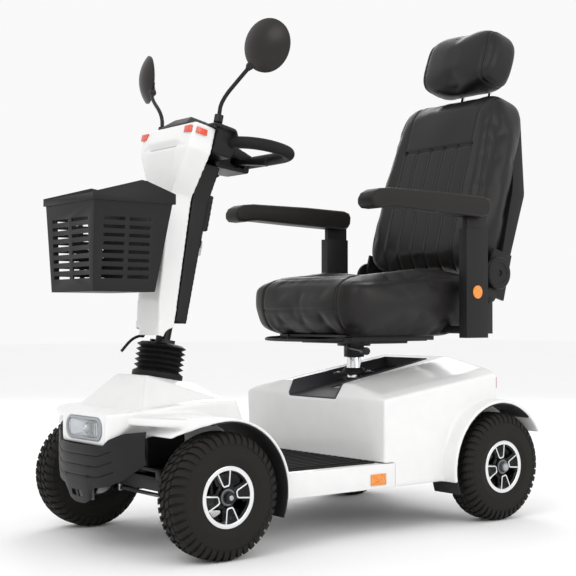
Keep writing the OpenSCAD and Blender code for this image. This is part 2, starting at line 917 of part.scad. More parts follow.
module slide_lever() {
    z = 486;
    color(steel) placed() sweep([
        [150, 70, z], [150, 24, z - 2], [118, -6, z - 6], [-118, -6, z - 6], [-150, 24, z - 2],
        [-150, 70, z]
    ], 4);
}

module seat_cushion() {
    h = seat_w / 2;
    color(vinyl) placed() hull() {
        for (x = [-h + 40, h - 40], y = [seat_front + 40, seat_front + seat_depth - 40])
            translate([x, y, seat_z + 40]) sphere(r = 40, $fn = soft_fn);
        for (x = [-h + 50, h - 50], y = [seat_front + 50, seat_front + seat_depth - 50])
            translate([x, y, seat_z + 1]) cylinder(r = 30, h = 2, $fn = soft_fn);
        for (x = [-h + 34, h - 34], y = [seat_front + 50, seat_front + seat_depth - 60])
            translate([x, y, seat_z + cushion_t - 8]) sphere(r = 32, $fn = soft_fn);
    }
}

// The backrest's own frame: origin on the recline hinge, +Z up the back.
module on_back() {
    placed() translate([0, recline_y, recline_z]) rotate([-back_lean, 0, 0]) children();
}

module backrest() {
    color(vinyl) on_back() hull() {
        for (x = [-142, 142]) translate([x, -4, 562]) sphere(r = 42, $fn = soft_fn);
        for (x = [-174, 174]) translate([x, -12, 505]) sphere(r = 42, $fn = soft_fn);
        for (x = [-206, 206]) translate([x, -28, 290]) sphere(r = 42, $fn = soft_fn);
        for (x = [-204, 204]) translate([x, -34, 104]) sphere(r = 40, $fn = soft_fn);
        for (x = [-150, 150]) translate([x, 20, 560]) sphere(r = 30, $fn = soft_fn);
        for (x = [-204, 204]) translate([x, 20, 110]) sphere(r = 30, $fn = soft_fn);
    }
}

module back_shell() {
    color(black) on_back() difference() {
        union() {
            hull() {
                for (x = [-140, 140]) translate([x, 50.4, 540]) rotate([-90, 0, 0])
                    cylinder(r = 44, h = 26, $fn = soft_fn);
                for (x = [-186, 186]) translate([x, 50.4, 320]) rotate([-90, 0, 0])
                    cylinder(r = 40, h = 50, $fn = soft_fn);
                for (x = [-190, 190]) translate([x, 50.4, 90]) rotate([-90, 0, 0])
                    cylinder(r = 40, h = 30, $fn = soft_fn);
            }
            // Hinge arms
            both_sides() span([249, -14, 0], [257, 60, 130]);
            both_sides() rod_x(22, 249, 257);
            both_sides() span([180, 52.6, 70], [257, 60, 130]);
        }
        // Pockets for the headrest's two stems
        for (x = [-55, 55]) translate([x, 62, 330]) cylinder(r = 6 + run, h = 300);
    }
}

module recline_lever() {
    color(black) placed() translate([0, recline_y, recline_z]) {
        rod_x(20, 257.4, 264);
        hull() {
            rod_x(12, 258, 266, $fn = 32);
            translate([0, -66, 24]) rod_x(7, 258, 266, $fn = 32);
        }
    }
}

module headrest() {
    color(vinyl) on_back() hull() {
        for (x = [-100, 100]) {
            translate([x, -12, 672]) sphere(r = 48, $fn = soft_fn);
            translate([x, 22, 690]) sphere(r = 46, $fn = soft_fn);
            translate([x, -8, 764]) sphere(r = 48, $fn = soft_fn);
            translate([x, 22, 760]) sphere(r = 44, $fn = soft_fn);
        }
    }
    color(silver) on_back() for (x = [-55, 55]) {
        translate([x, 62, 380]) cylinder(r = 6, h = 330);
        translate([x, 62, 704]) rotate([90, 0, 0]) cylinder(r = 6, h = 20);
    }
}

// ---------------------------------------------------------------- armrests

// Bracket that slides sideways in the seat's cross tube and holds the armrest.
module arm_bracket() {
    y = arm_hinge_y;
    color(black) placed() {
        translate([0, arm_tube_y, arm_tube_z]) rod_x(10, 40, arm_x);
        span([arm_x - 14, y - 22, arm_tube_z - 22], [arm_x + 14, y + 60, 776]);
        difference() {
            union() {
                span([arm_x - 7.6, y - 14, 776], [arm_x + 7.6, y + 60, arm_hinge_z + 4]);
                translate([0, y, arm_hinge_z]) rod_x(14, arm_x - 7.6, arm_x + 7.6);
            }
            translate([0, y, arm_hinge_z]) rod_x(5 + run, arm_x - 9, arm_x + 9);
        }
    }
    // Side reflector
    color("#f08a24") placed() translate([0, y + 18, 608]) rod_x(14, arm_x + 14.05, arm_x + 17);
}
module arm_bracket_left() { arm_bracket(); }
module arm_bracket_right() { mirror([1, 0, 0]) arm_bracket(); }

// Padded armrest that lifts about a pin at its rear end.
module armrest() {
    y = arm_hinge_y;
    color(vinyl) placed() {
        hull() {
            translate([arm_x, 16, 838]) rotate([0, 90, 0])
                cylinder(r = 14, h = 50, center = true, $fn = soft_fn);
            translate([arm_x, 38, 841]) rotate([0, 90, 0])
                cylinder(r = 22, h = 60, center = true, $fn = soft_fn);
            translate([arm_x, 321, 842]) rotate([0, 90, 0])
                cylinder(r = 22, h = 60, center = true, $fn = soft_fn);
        }
        for (x = [arm_x - 30, arm_x + 8]) hull() {
            span([x, 318, 821], [x + 22, 326, 864]);
            translate([0, y, arm_hinge_z + 4]) rod_x(22, x, x + 22, $fn = soft_fn);
            translate([0, y + 36, arm_hinge_z + 4]) rod_x(20, x, x + 22, $fn = soft_fn);
        }
        translate([0, y, arm_hinge_z]) rod_x(5, arm_x - 28, arm_x + 28);
    }
}
module armrest_left() { armrest(); }
module armrest_right() { mirror([1, 0, 0]) armrest(); }

frame();
front_axle_beam();
transaxle();
battery_packs();
front_cowl();
headlight_housing();
headlight_lens();
front_bumper();
wheel_liners();
floor_pan();
foot_mat();
rear_body();
seat_surround();
tail_lights();
side_reflectors();
seat_post();
freewheel_lever();
steering_stem();
bellows();
knuckle_left();
knuckle_right();
tie_rod();
tyre_front_left();
tyre_front_right();
tyre_rear_left();
tyre_rear_right();
rim_front_left();
rim_front_right();
rim_rear_left();
rim_rear_right();
tiller_column();
tiller_front_cover();
tiller_rear_cover();
console();
handlebar();
indicators();
key();
throttle_lever();
speed_dial();
horn_button();
light_button();
mirror_stem_left();
mirror_stem_right();
mirror_head_left();
mirror_head_right();
tilt_lever();
basket();
seat_base();
swivel_lever();
seat_frame();
slide_lever();
seat_cushion();
backrest();
back_shell();
recline_lever();
headrest();
armrest_left();
armrest_right();
arm_bracket_left();
arm_bracket_right();
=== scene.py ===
"""Finished looks of a four-wheel mobility scooter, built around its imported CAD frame."""

import json
import math

import bmesh
import bpy
from mathutils import Matrix, Vector


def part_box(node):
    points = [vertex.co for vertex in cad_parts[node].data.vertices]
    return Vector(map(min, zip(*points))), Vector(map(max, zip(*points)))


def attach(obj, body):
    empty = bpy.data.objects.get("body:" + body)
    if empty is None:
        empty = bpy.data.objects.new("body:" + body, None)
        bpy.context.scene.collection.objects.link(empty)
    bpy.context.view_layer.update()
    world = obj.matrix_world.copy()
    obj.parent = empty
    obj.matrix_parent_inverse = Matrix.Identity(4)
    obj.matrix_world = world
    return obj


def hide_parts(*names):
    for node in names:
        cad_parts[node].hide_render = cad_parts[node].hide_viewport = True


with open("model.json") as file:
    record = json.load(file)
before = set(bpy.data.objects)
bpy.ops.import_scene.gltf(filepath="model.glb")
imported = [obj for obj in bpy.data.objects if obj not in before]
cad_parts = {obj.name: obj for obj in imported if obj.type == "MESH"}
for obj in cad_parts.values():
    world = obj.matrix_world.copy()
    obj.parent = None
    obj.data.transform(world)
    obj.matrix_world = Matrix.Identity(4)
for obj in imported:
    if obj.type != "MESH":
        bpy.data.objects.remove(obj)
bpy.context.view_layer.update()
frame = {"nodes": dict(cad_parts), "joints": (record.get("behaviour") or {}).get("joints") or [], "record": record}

MM = 0.001
JOINTS = {j["name"]: j for j in frame["joints"]}
BODY_OF = {
    node: body
    for body, nodes in frame["record"]["behaviour"]["bodies"].items()
    for node in nodes
}
SLOT_OF = {part["node"]: part["material_slot"] for part in frame["record"]["subparts"]}

# Distances are in millimetres unless a name or comment says otherwise.
MERGE_GAP = 0.00002  # metres
MIRROR_LEVEL = 1180
MIRROR_TURN = math.radians(19)
POST_Y = 211
SHELF_Z = 384.4  # top of the recess floor that the post's flange stands on


def pivot(joint):
    """Where a joint turns, in metres."""
    return Vector(JOINTS[joint]["pos_m"])


# ------------------------------------------------------------------ places

WHEEL_MIDDLE = pivot("wheel_front_left_spin")
MIDDLE_Y = (WHEEL_MIDDLE.y + pivot("wheel_rear_left_spin").y) / 2
TILLER_AXIS = Vector(JOINTS["key_turn"]["axis"])
BACK_AXIS = Vector(JOINTS["headrest_lift"]["axis"])


def leaning(origin, axis):
    """Moves a shape from an upright frame in millimetres to one that leans back along axis."""
    turn = Matrix.Rotation(-math.atan2(axis.y, axis.z), 4, "X")
    return Matrix.Translation(origin) @ turn @ Matrix.Scale(MM, 4)


FLOOR_FRAME = Matrix.Translation((0, MIDDLE_Y, 0)) @ Matrix.Scale(MM, 4)
TILLER_FRAME = leaning(pivot("tiller_tilt"), TILLER_AXIS)
BACK_FRAME = leaning(pivot("back_recline"), BACK_AXIS)


# ------------------------------------------------------------------ materials


def colour(code, alpha=1.0):
    """An sRGB hex value as linear colour."""
    parts = [int(code[i : i + 2], 16) / 255 for i in (1, 3, 5)]
    linear = [p / 12.92 if p <= 0.04045 else ((p + 0.055) / 1.055) ** 2.4 for p in parts]
    return (*linear, alpha)


def add(tree, kind, sockets=None, **settings):
    """Adds a shader node, sets its properties and fills or links its sockets."""
    made = tree.nodes.new(kind)
    for name, value in settings.items():
        setattr(made, name, value)
    for name, value in (sockets or {}).items():
        if isinstance(value, bpy.types.NodeSocket):
            tree.links.new(value, made.inputs[name])
        else:
            made.inputs[name].default_value = value
    return made


def blank(name, **shader):
    """A new material with its tree, its shader and its object coordinates in millimetres."""
    made = bpy.data.materials.new(name)
    made.use_nodes = True
    tree = made.node_tree
    surface = tree.nodes["Principled BSDF"]
    for socket, value in shader.items():
        surface.inputs[socket.replace("_", " ")].default_value = value
    where = add(tree, "ShaderNodeTexCoord").outputs["Object"]
    size = add(tree, "ShaderNodeMapping", {"Vector": where, "Scale": (1000, 1000, 1000)})
    return made, tree, surface, size.outputs["Vector"]


def tinted(tree, surface, mask, dark, light):
    """Colours a surface between two tones by a mask from 0 to 1."""
    ramp = add(tree, "ShaderNodeValToRGB", {"Fac": mask})
    ramp.color_ramp.elements[0].color = colour(dark)
    ramp.color_ramp.elements[1].color = colour(light)
    tree.links.new(ramp.outputs["Color"], surface.inputs["Base Color"])


def spread(tree, value, low, high):
    """A value from 0 to 1 spread from low to high."""
    made = add(tree, "ShaderNodeMapRange", {"Value": value, "To Min": low, "To Max": high})
    return made.outputs["Result"]


def bumped(tree, surface, height, depth_mm, strength=1.0):
    """Raises a surface by a height map, to a real depth."""
    bump = add(
        tree,
        "ShaderNodeBump",
        {"Height": height, "Distance": depth_mm * MM, "Strength": strength},
    )
    tree.links.new(bump.outputs["Normal"], surface.inputs["Normal"])


def gloss_abs():
    """Injection-moulded gloss white ABS: clean highlights with a faint moulding ripple."""
    made, tree, surface, size = blank(
        "gloss_white_abs", Roughness=0.22, IOR=1.5, Coat_Weight=0.3, Coat_Roughness=0.08
    )
    ripple = add(tree, "ShaderNodeTexNoise", {"Vector": size, "Scale": 1 / 45, "Detail": 2.0})
    tinted(tree, surface, ripple.outputs["Fac"], "#e3e3e3", "#ebebea")
    bumped(tree, surface, ripple.outputs["Fac"], 0.25, 0.5)
    dust = add(tree, "ShaderNodeTexNoise", {"Vector": size, "Scale": 1 / 6, "Detail": 4.0})
    rough = spread(tree, dust.outputs["Fac"], 0.17, 0.29)
    tree.links.new(rough, surface.inputs["Roughness"])
    return made


def grained(name, dark, light, rough, grain_mm=1.6, depth_mm=0.12, **shader):
    """Spark-textured moulded plastic: a fine pebble grain that breaks up the highlights."""
    made, tree, surface, size = blank(
        name, Roughness=rough, IOR=1.49, Specular_IOR_Level=0.28, **shader
    )
    pebble = add(tree, "ShaderNodeTexVoronoi", {"Vector": size, "Scale": 1 / grain_mm})
    cloud = add(tree, "ShaderNodeTexNoise", {"Vector": size, "Scale": 1 / 60, "Detail": 5.0})
    tinted(tree, surface, cloud.outputs["Fac"], dark, light)
    bumped(tree, surface, pebble.outputs["Distance"], depth_mm, 0.6)
    wear = spread(tree, cloud.outputs["Fac"], rough - 0.07, rough + 0.07)
    tree.links.new(wear, surface.inputs["Roughness"])
    return made


def powder_coat():
    """Powder-coated steel: satin black with a fine orange-peel texture."""
    made, tree, surface, size = blank("black_powder_coat", IOR=1.5, Specular_IOR_Level=0.3)
    peel = add(tree, "ShaderNodeTexNoise", {"Vector": size, "Scale": 1 / 2.2, "Detail": 2.0})
    cloud = add(tree, "ShaderNodeTexNoise", {"Vector": size, "Scale": 1 / 80, "Detail": 3.0})
    tinted(tree, surface, cloud.outputs["Fac"], "#0d0d0e", "#171718")
    bumped(tree, surface, peel.outputs["Fac"], 0.12, 0.5)
    tree.links.new(spread(tree, peel.outputs["Fac"], 0.32, 0.46), surface.inputs["Roughness"])
    return made


def rubber(name, dark, light, rough):
    """Vulcanised rubber: matt, with a dusty bloom and a slightly uneven skin."""
    made, tree, surface, size = blank(name, IOR=1.52, Specular_IOR_Level=0.22)
    bloom = add(tree, "ShaderNodeTexNoise", {"Vector": size, "Scale": 1 / 28, "Detail": 6.0})
    skin = add(tree, "ShaderNodeTexNoise", {"Vector": size, "Scale": 1 / 2.5, "Detail": 3.0})
    tinted(tree, surface, bloom.outputs["Fac"], dark, light)
    bumped(tree, surface, skin.outputs["Fac"], 0.2, 0.5)
    tree.links.new(
        spread(tree, bloom.outputs["Fac"], rough - 0.1, rough + 0.1), surface.inputs["Roughness"]
    )
    return made


def upholstery(name, dark, light):
    """Soft vinyl leathercloth: an embossed leather grain about 2 mm across, with a low sheen."""
    made, tree, surface, size = blank(name, IOR=1.47, Specular_IOR_Level=0.36)
    drift = add(tree, "ShaderNodeTexNoise", {"Vector": size, "Scale": 1 / 7, "Detail": 2.0})
    swirl = add(
        tree,
        "ShaderNodeVectorMath",
        {0: size, 1: drift.outputs["Color"]},
        operation="ADD",
    )
    grain = add(
        tree,
        "ShaderNodeTexVoronoi",
        {"Vector": swirl.outputs["Vector"], "Scale": 1 / 2.3},
        feature="DISTANCE_TO_EDGE",
    )
    folds = add(tree, "ShaderNodeTexNoise", {"Vector": size, "Scale": 1 / 90, "Detail": 4.0})
    tinted(tree, surface, folds.outputs["Fac"], dark, light)
    bumped(tree, surface, grain.outputs["Distance"], 0.3, 0.45)
    tree.links.new(spread(tree, folds.outputs["Fac"], 0.34, 0.52), surface.inputs["Roughness"])
    return made


def metal(name, dark, light, low, high, grain_mm, stretch=(1, 1, 1)):
    """Bare or plated metal, with fine marks along the way it was worked."""
    made, tree, surface, size = blank(name, Metallic=1.0)
    drawn = add(tree, "ShaderNodeMapping", {"Vector": size, "Scale": stretch})
    marks = add(
        tree,
        "ShaderNodeTexNoise",
        {"Vector": drawn.outputs["Vector"], "Scale": 1 / grain_mm, "Detail": 4.0},
    )
    tinted(tree, surface, marks.outputs["Fac"], dark, light)
    tree.links.new(spread(tree, marks.outputs["Fac"], low, high), surface.inputs["Roughness"])
    bumped(tree, surface, marks.outputs["Fac"], 0.03, 0.3)
    return made


def reflector_lens(name, dark, light):
    """Moulded acrylic lens: rows of small prisms under a smooth skin."""
    made, tree, surface, size = blank(name, Roughness=0.12, IOR=1.49, Coat_Weight=0.6)
    prisms = add(tree, "ShaderNodeTexVoronoi", {"Vector": size, "Scale": 1 / 3.2})
    tinted(tree, surface, prisms.outputs["Distance"], light, dark)
    bumped(tree, surface, prisms.outputs["Distance"], 0.4, 0.4)
    return made


def clear_lens():
    """Clear polycarbonate with moulded vertical flutes about 5 mm apart."""
    made, tree, surface, size = blank(
        "clear_polycarbonate",
        Roughness=0.06,
        IOR=1.58,
        Transmission_Weight=0.92,
    )
    flutes = add(
        tree,
        "ShaderNodeTexWave",
        {"Vector": size, "Scale": 1 / 32, "Distortion": 0.0},
        bands_direction="X",
    )
    tinted(tree, surface, flutes.outputs["Fac"], "#e9eef2", "#ffffff")
    bumped(tree, surface, flutes.outputs["Fac"], 0.6, 0.5)
    return made


def silvered_glass():
    """Mirror glass: a smooth silvered back with only faint smears."""
    made, tree, surface, size = blank("silvered_glass", Metallic=1.0)
    smear = add(tree, "ShaderNodeTexNoise", {"Vector": size, "Scale": 1 / 40, "Detail": 3.0})
    tinted(tree, surface, smear.outputs["Fac"], "#dfe3e6", "#f2f4f5")
    tree.links.new(spread(tree, smear.outputs["Fac"], 0.02, 0.08), surface.inputs["Roughness"])
    return made


# Gloss white ABS: body shells and tiller cover
WHITE = gloss_abs()
# Grained black plastic: bumper, rear tiller cover, basket
BLACK = grained("black_grained_plastic", "#121112", "#1b1a1a", 0.46)
# Finer-grained black plastic: console and its levers
CONSOLE = grained("black_console_plastic", "#0f0e0f", "#171617", 0.4, 1.2, 0.08)
# Dark plastic: wheel-arch liners
LINER = grained("dark_liner_plastic", "#1d1c1d", "#282728", 0.55, 2.0)
# Grey plastic: recess on top of the rear body
RECESS = grained("grey_recess_plastic", "#38373a", "#454448", 0.5, 2.0)
# Battery cases
CASE = grained("battery_case_plastic", "#1d1e20", "#292a2c", 0.5)
# Seat shell, recliner covers and armrest brackets
SHELL = grained("seat_shell_plastic", "#131212", "#1c1a1a", 0.5, 1.8)
# Self-skinned foam: armrest pads
PAD = grained("moulded_pad_foam", "#151312", "#1f1c1b", 0.5, 2.2, 0.18)
# Grey plastic: lamp bezel
GREY = grained("lamp_bezel_plastic", "#8f9297", "#a5a8ac", 0.35, 2.5, 0.05)
# Mirror shells
DARK_MIRROR = grained("mirror_shell_plastic", "#1d1a19", "#292524", 0.36, 1.4, 0.05)
# Powder-coated steel: frame, axles, seat frame, stems
STEEL = powder_coat()
# Tyres
TYRE = rubber("tyre_rubber", "#121110", "#211f1d", 0.72)
# Ribbed foot mat
MAT = rubber("mat_rubber", "#0e0d0d", "#1a1919", 0.7)
# Bellows over the steering stem
BOOT = rubber("bellows_rubber", "#0b0b0b", "#151414", 0.5)
# Grip of the loop handle
FOAM = rubber("loop_grip_foam", "#0f0e0e", "#191717", 0.6)
# Leathercloth: cushion, backrest, headrest
VINYL = upholstery("black_leathercloth", "#0f0d0d", "#1b1817")
# Chromed post, headrest stems and lamp bowl
CHROME = metal("chrome_plate", "#c9cbd0", "#f0f1f3", 0.05, 0.14, 8.0, (1, 1, 0.1))
# Nuts, bolts, tie rod, key
ZINC = metal("zinc_plate", "#9b9da0", "#c2c4c6", 0.25, 0.4, 1.5)
# Gear case and hub collars
CAST = metal("cast_alloy", "#6a6c70", "#85878a", 0.45, 0.62, 2.0)
# Machined faces of the rims
BRIGHT = metal("machined_alloy", "#d9dadc", "#f3f3f4", 0.2, 0.32, 0.8)
# Painted dish of the rims
GLOSS_BLACK = grained("gloss_black_paint", "#070708", "#0d0d0e", 0.2, 3.0, 0.03)
# Tail lights
RED = reflector_lens("red_lens", "#7c0f0a", "#c92b1e")
# Reflectors
AMBER = reflector_lens("amber_lens", "#d06a10", "#ffa640")
# Turn indicators
SIGNAL = reflector_lens("signal_lens", "#b92a12", "#f4603a")
# Headlight glass
CLEAR = clear_lens()
# Mirror faces
MIRROR_GLASS = silvered_glass()
# Horn button and freewheel lever
RED_PLASTIC = grained("red_plastic", "#a51d16", "#bd2a20", 0.35, 2.0, 0.04)
# Light button
GREEN_PLASTIC = grained("green_plastic", "#1d6a34", "#268044", 0.35, 2.0, 0.04)


# ------------------------------------------------------------------ modelling


def clear():
    """Leaves edit mode with nothing selected."""
    if bpy.context.object and bpy.context.object.mode != "OBJECT":
        bpy.ops.object.mode_set(mode="OBJECT")
    bpy.ops.object.select_all(action="DESELECT")


def pick(obj):
    """Makes one object the only selected one."""
    clear()
    obj.select_set(True)
    bpy.context.view_layer.objects.active = obj
    return obj


def edit_all(obj, *steps):
    """Runs mesh operators on all of an object, each given as (operator, settings)."""
    pick(obj)
    bpy.ops.object.mode_set(mode="EDIT")
    bpy.ops.mesh.select_all(action="SELECT")
    for operator, settings in steps:
        operator(**settings)
    bpy.ops.object.mode_set(mode="OBJECT")


def close_up(obj, gap=MERGE_GAP):
    """Merges doubles and turns every face outwards."""
    edit_all(
        obj,
        (bpy.ops.mesh.remove_doubles, {"threshold": gap}),
        (bpy.ops.mesh.normals_make_consistent, {"inside": False}),
    )
    return obj


def use(obj, kind, **settings):
    """Adds a modifier and applies it."""
    pick(obj)
    made = obj.modifiers.new(kind.lower(), kind)
    for name, value in settings.items():
        setattr(made, name, value)
    bpy.ops.object.modifier_apply(modifier=made.name)
    return obj


def soften(obj, width_mm, segments=2, angle=32):
    """Rounds the sharp edges and smooths what is left."""
    use(
        obj,
        "BEVEL",
        width=width_mm * MM,
        segments=segments,
        limit_method="ANGLE",
        angle_limit=math.radians(angle),
        use_clamp_overlap=True,
    )
    return smooth(obj)


def smooth(obj, angle=35):
    """Smooth shading that keeps edges sharper than the angle."""
    pick(obj)
    bpy.ops.object.shade_smooth_by_angle(angle=math.radians(angle))
    return obj


def moved(obj, matrix):
    """Puts an object's shape in its place, and leaves its origin at the world's."""
    obj.data.transform(matrix)
    obj.data.update()
    return obj


def prism(name, outline, low, high, matrix=FLOOR_FRAME, across="x"):
    """A flat outline with some thickness. The outline lies across the named axis."""
    clear()
    bpy.ops.mesh.primitive_circle_add(vertices=len(outline), fill_type="NGON")
    obj = bpy.context.object
    obj.name = name
    order = {"x": (2, 0, 1), "y": (0, 2, 1), "z": (0, 1, 2)}[across]

    def placed(point, level):
        made = (*point, level)
        return Vector([made[i] for i in order])

    for vertex, point in zip(obj.data.vertices, outline):
        vertex.co = placed(point, low)
    lift = placed((0, 0), high - low)
    edit_all(
        obj,
        (bpy.ops.mesh.extrude_region_move, {"TRANSFORM_OT_translate": {"value": lift}}),
        (bpy.ops.mesh.select_all, {"action": "SELECT"}),
        (bpy.ops.mesh.normals_make_consistent, {"inside": False}),
    )
    return moved(obj, matrix)


def box(name, low, high, matrix=FLOOR_FRAME):
    """A block between two corners, to be bevelled or cut."""
    outline = [(low[1], low[2]), (high[1], low[2]), (high[1], high[2]), (low[1], high[2])]
    return prism(name, outline, low[0], high[0], matrix)


def turned(name, profile, middle, steps=64):
    """A closed profile of (radius, along) points spun about X through a point in metres."""
    clear()
    bpy.ops.mesh.primitive_circle_add(vertices=len(profile))
    obj = bpy.context.object
    obj.name = name
    for vertex, (radius, along) in zip(obj.data.vertices, profile):
        vertex.co = middle + Vector((along, 0, radius)) * MM
    pick(obj)
    bpy.ops.object.mode_set(mode="EDIT")
    bpy.ops.mesh.select_all(action="SELECT")
    bpy.ops.mesh.spin(steps=steps, angle=math.tau, center=middle, axis=(1, 0, 0))
    bpy.ops.object.mode_set(mode="OBJECT")
    return close_up(obj)


def skin(name, rows, columns, place, matrix=FLOOR_FRAME):
    """A sheet of faces whose point (u, v), each from 0 to 1, lies at place(u, v)."""
    clear()
    bpy.ops.mesh.primitive_grid_add(x_subdivisions=columns, y_subdivisions=rows, size=2)
    obj = bpy.context.object
    obj.name = name
    for vertex in obj.data.vertices:
        vertex.co = place((vertex.co.x + 1) / 2, (vertex.co.y + 1) / 2)
    return moved(obj, matrix)


def tube(name, points, radius, matrix=FLOOR_FRAME, looped=False, sides=6, smooth_path=True):
    """A round bar along a path of points in millimetres."""
    curve = bpy.data.curves.new(name, "CURVE")
    curve.dimensions = "3D"
    spline = curve.splines.new("NURBS" if smooth_path else "POLY")
    spline.points.add(len(points) - 1)
    for target, point in zip(spline.points, points):
        target.co = (*(matrix @ Vector(point)), 1)
    if smooth_path:
        spline.order_u = 3
        spline.use_endpoint_u = not looped
        spline.resolution_u = 8
    spline.use_cyclic_u = looped
    curve.bevel_depth = radius * MM
    curve.bevel_resolution = sides
    curve.use_fill_caps = not looped
    made = bpy.data.objects.new(name, curve)
    bpy.context.scene.collection.objects.link(made)
    pick(made)
    bpy.ops.object.convert(target="MESH")
    return smooth(close_up(bpy.context.object), 50)


def joined(name, *parts):
    """Several shapes as one mesh."""
    clear()
    for part in parts:
        part.select_set(True)
    bpy.context.view_layer.objects.active = parts[0]
    bpy.ops.object.join()
    made = bpy.context.object
    made.name = name
    return made


def copied(obj, name, matrix=None):
    """A copy with its own mesh, moved by a matrix."""
    made = obj.copy()
    made.data = obj.data.copy()
    made.name = name
    bpy.context.scene.collection.objects.link(made)
    if matrix is not None:
        made.data.transform(matrix)
        if matrix.determinant() < 0:
            made.data.flip_normals()
    return made


def mirrored(obj, name):
    """The same piece for the other side."""
    return copied(obj, name, Matrix.Scale(-1, 4, (1, 0, 0)))


def cut(obj, tool):
    """Takes one shape out of another."""
    use(obj, "BOOLEAN", object=tool, operation="DIFFERENCE", solver="EXACT")
    bpy.data.objects.remove(tool)
    return obj


def done(obj, body, slot, material, *nodes):
    """Gives a piece its finish, its body and the CAD nodes it stands for."""
    obj.data.materials.clear()
    obj.data.materials.append(material)
    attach(obj, body)
    if nodes:
        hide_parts(*nodes)
    return obj


def dressed(node, material, width_mm=1.2, segments=2, angle=32):
    """A CAD node's own shape with its doubles merged and its edges rounded."""
    source = frame["nodes"][node]
    made = copied(source, f"{node}_part")
    made.hide_render = False
    edit_all(
        made,
        (bpy.ops.mesh.remove_doubles, {"threshold": MERGE_GAP}),
        (bpy.ops.mesh.dissolve_limited, {"angle_limit": math.radians(1)}),
    )
    if width_mm:
        soften(made, width_mm, segments, angle)
    else:
        smooth(made)
    return done(made, BODY_OF[node], SLOT_OF[node], material, node)


def moulded(node, material, voxel_mm=4, rounds=14, keep=1.0, thicken_mm=0.0):
    """A CAD node's shape as one smooth moulding, its facets run together into curves."""
    source = frame["nodes"][node]
    made = copied(source, f"{node}_moulding")
    made.hide_render = False
    edit_all(made, (bpy.ops.mesh.remove_doubles, {"threshold": MERGE_GAP}))
    if thicken_mm:
        use(made, "SOLIDIFY", thickness=thicken_mm * MM, offset=1)
    use(made, "REMESH", mode="VOXEL", voxel_size=voxel_mm * MM)
    use(made, "SMOOTH", factor=0.5, iterations=rounds)
    if keep < 1:
        use(made, "DECIMATE", ratio=keep)
    smooth(made, 60)
    return done(made, BODY_OF[node], SLOT_OF[node], material, node)


# ------------------------------------------------------------------ wheels

TYRE_PROFILE = [
    (65, 35.5), (69, 38.5), (76, 41.5), (86, 43.2), (89, 44), (92, 43.4), (104, 43.6),
    (116, 42.4), (125, 39.5), (132, 35), (136.5, 28), (138.4, 18), (139, 6),
]
LUGS = 44


def tyre_carcass(middle):
    """The carcass: round shoulders, a rim ledge and a bead that sits in the rim."""
    outer = TYRE_PROFILE + [(r, -a) for r, a in reversed(TYRE_PROFILE)]
    inner = [(65, -30), (78, -34), (104, -37), (124, -32), (131, -14), (131, 14), (124, 32),
             (104, 37), (78, 34), (65, 30)]
    return smooth(turned("carcass", outer + inner, middle, 96), 40)


def lug(outline, middle, width_deg, twist_deg):
    """One tread block: an outline of (along, radius) points between two angles."""
    def placed(along, radius, share):
        angle = math.radians((share - 0.5) * width_deg + twist_deg * (along / 40))
        return middle + Vector((along, radius * math.sin(angle), radius * math.cos(angle))) * MM

    made = prism("lug", outline, 0, 1, Matrix.Identity(4))
    for vertex in made.data.vertices:
        share, along, radius = vertex.co
        vertex.co = placed(along, radius, share)
    return close_up(made, 0.000001)


def tread(middle):
    """Zigzag blocks down the middle and long lugs that wrap over both shoulders."""
    shoulder = [(21, 136), (20, 143), (29, 141.6), (36, 137), (41.5, 129), (43.9, 118),
                (41, 116), (38, 126), (31, 134)]
    centre = [(2, 138), (3, 143), (17, 143), (17, 138)]
    pieces = []
    for side in (1, -1):
        for outline, width, twist, offset in ((shoulder, 5.2, 5.0, 0.25), (centre, 5.4, 9.0, 0.6)):
            block = lug([(side * a, r) for a, r in outline], middle, width, twist)
            offset_turn = offset + (0.5 if side < 0 else 0)
            for i in range(LUGS):
                turn = Matrix.Rotation(math.tau * (i + offset_turn) / LUGS, 4, "X")
                here = Matrix.Translation(middle) @ turn @ Matrix.Translation(-middle)
                pieces.append(copied(block, "block", here))
            bpy.data.objects.remove(block)
    return joined("tread", *pieces)


def u_rib(turn_deg):
    """Outline of one U-shaped rib, open towards the rim, as (y, z) points."""
    outer = [(-19.5, 60), (-10, 27), (-6.5, 23), (6.5, 23), (10, 27), (19.5, 60)]
    inner = [(15.6, 60), (7.2, 29.5), (4.6, 26.6), (-4.6, 26.6), (-7.2, 29.5), (-15.6, 60)]
    angle = math.radians(turn_deg)
    return [
        (y * math.cos(angle) - z * math.sin(angle), y * math.sin(angle) + z * math.cos(angle))
        for y, z in outer + inner
    ]


def rim_black(middle):
    """Black dished centre with four windows, and the barrel behind the tyre."""
    profile = [(10.2, 6), (10.2, 34), (20, 34), (21, 29), (27, 27), (52, 29), (57, 36),
               (60, 38.5), (64.6, 38), (64.6, -36), (70, -38.5), (69, -40.5), (58, -40),
               (58, 20), (24, 18), (22, 6)]
    dish = turned("dish", profile, middle, 72)
    for k in range(4):
        angle = math.radians(45 + 90 * k + 11)
        window = [(-9, 28), (-21, 47), (-17, 53), (0, 55.5), (17, 53), (21, 47), (9, 28)]
        outline = [
            (y * math.cos(angle) - z * math.sin(angle), y * math.sin(angle) + z * math.cos(angle))
            for y, z in window
        ]
        tool = prism("window", outline, -5, 60, Matrix.Translation(middle) @ Matrix.Scale(MM, 4))
        cut(dish, tool)
    return soften(dish, 0.8, 1)


